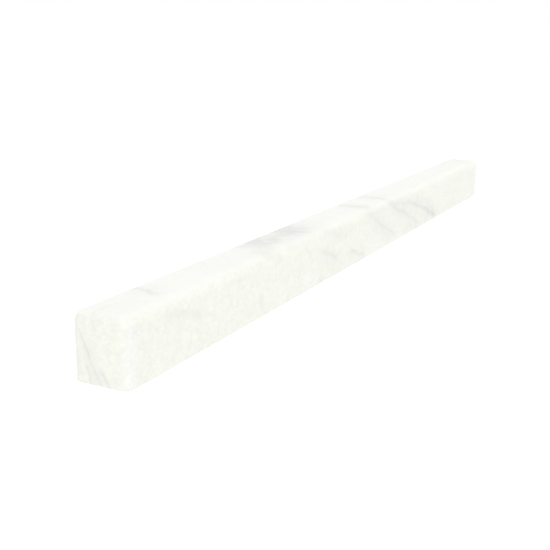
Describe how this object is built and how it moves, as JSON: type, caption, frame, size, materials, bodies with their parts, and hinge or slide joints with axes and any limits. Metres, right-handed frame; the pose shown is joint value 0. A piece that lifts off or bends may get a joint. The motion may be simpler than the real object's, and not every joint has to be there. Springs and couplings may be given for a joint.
{
  "type": "pencil liner tile",
  "caption": "Slim straight bar of polished white marble with two rolled top edges and eased ends, bedded on a wall as a border or end trim between fields of tile",
  "frame": {"origin": "Middle of the sawn bed, which is the lowest plane of the bar and the face that is bedded on the wall", "axes": "+X runs along the bar's length, +Y across its width, and +Z from the bed out to the polished top. The end that is near in the picture is at -X and the long side that shows is at -Y"},
  "size_m": [0.3048, 0.016, 0.018],
  "materials": {
    "marble": "polished white marble with faint grey veins; the bed is left sawn"
  },
  "bodies": {
    "root": {"liner_bar": "marble"}
  },
  "joints": []
}
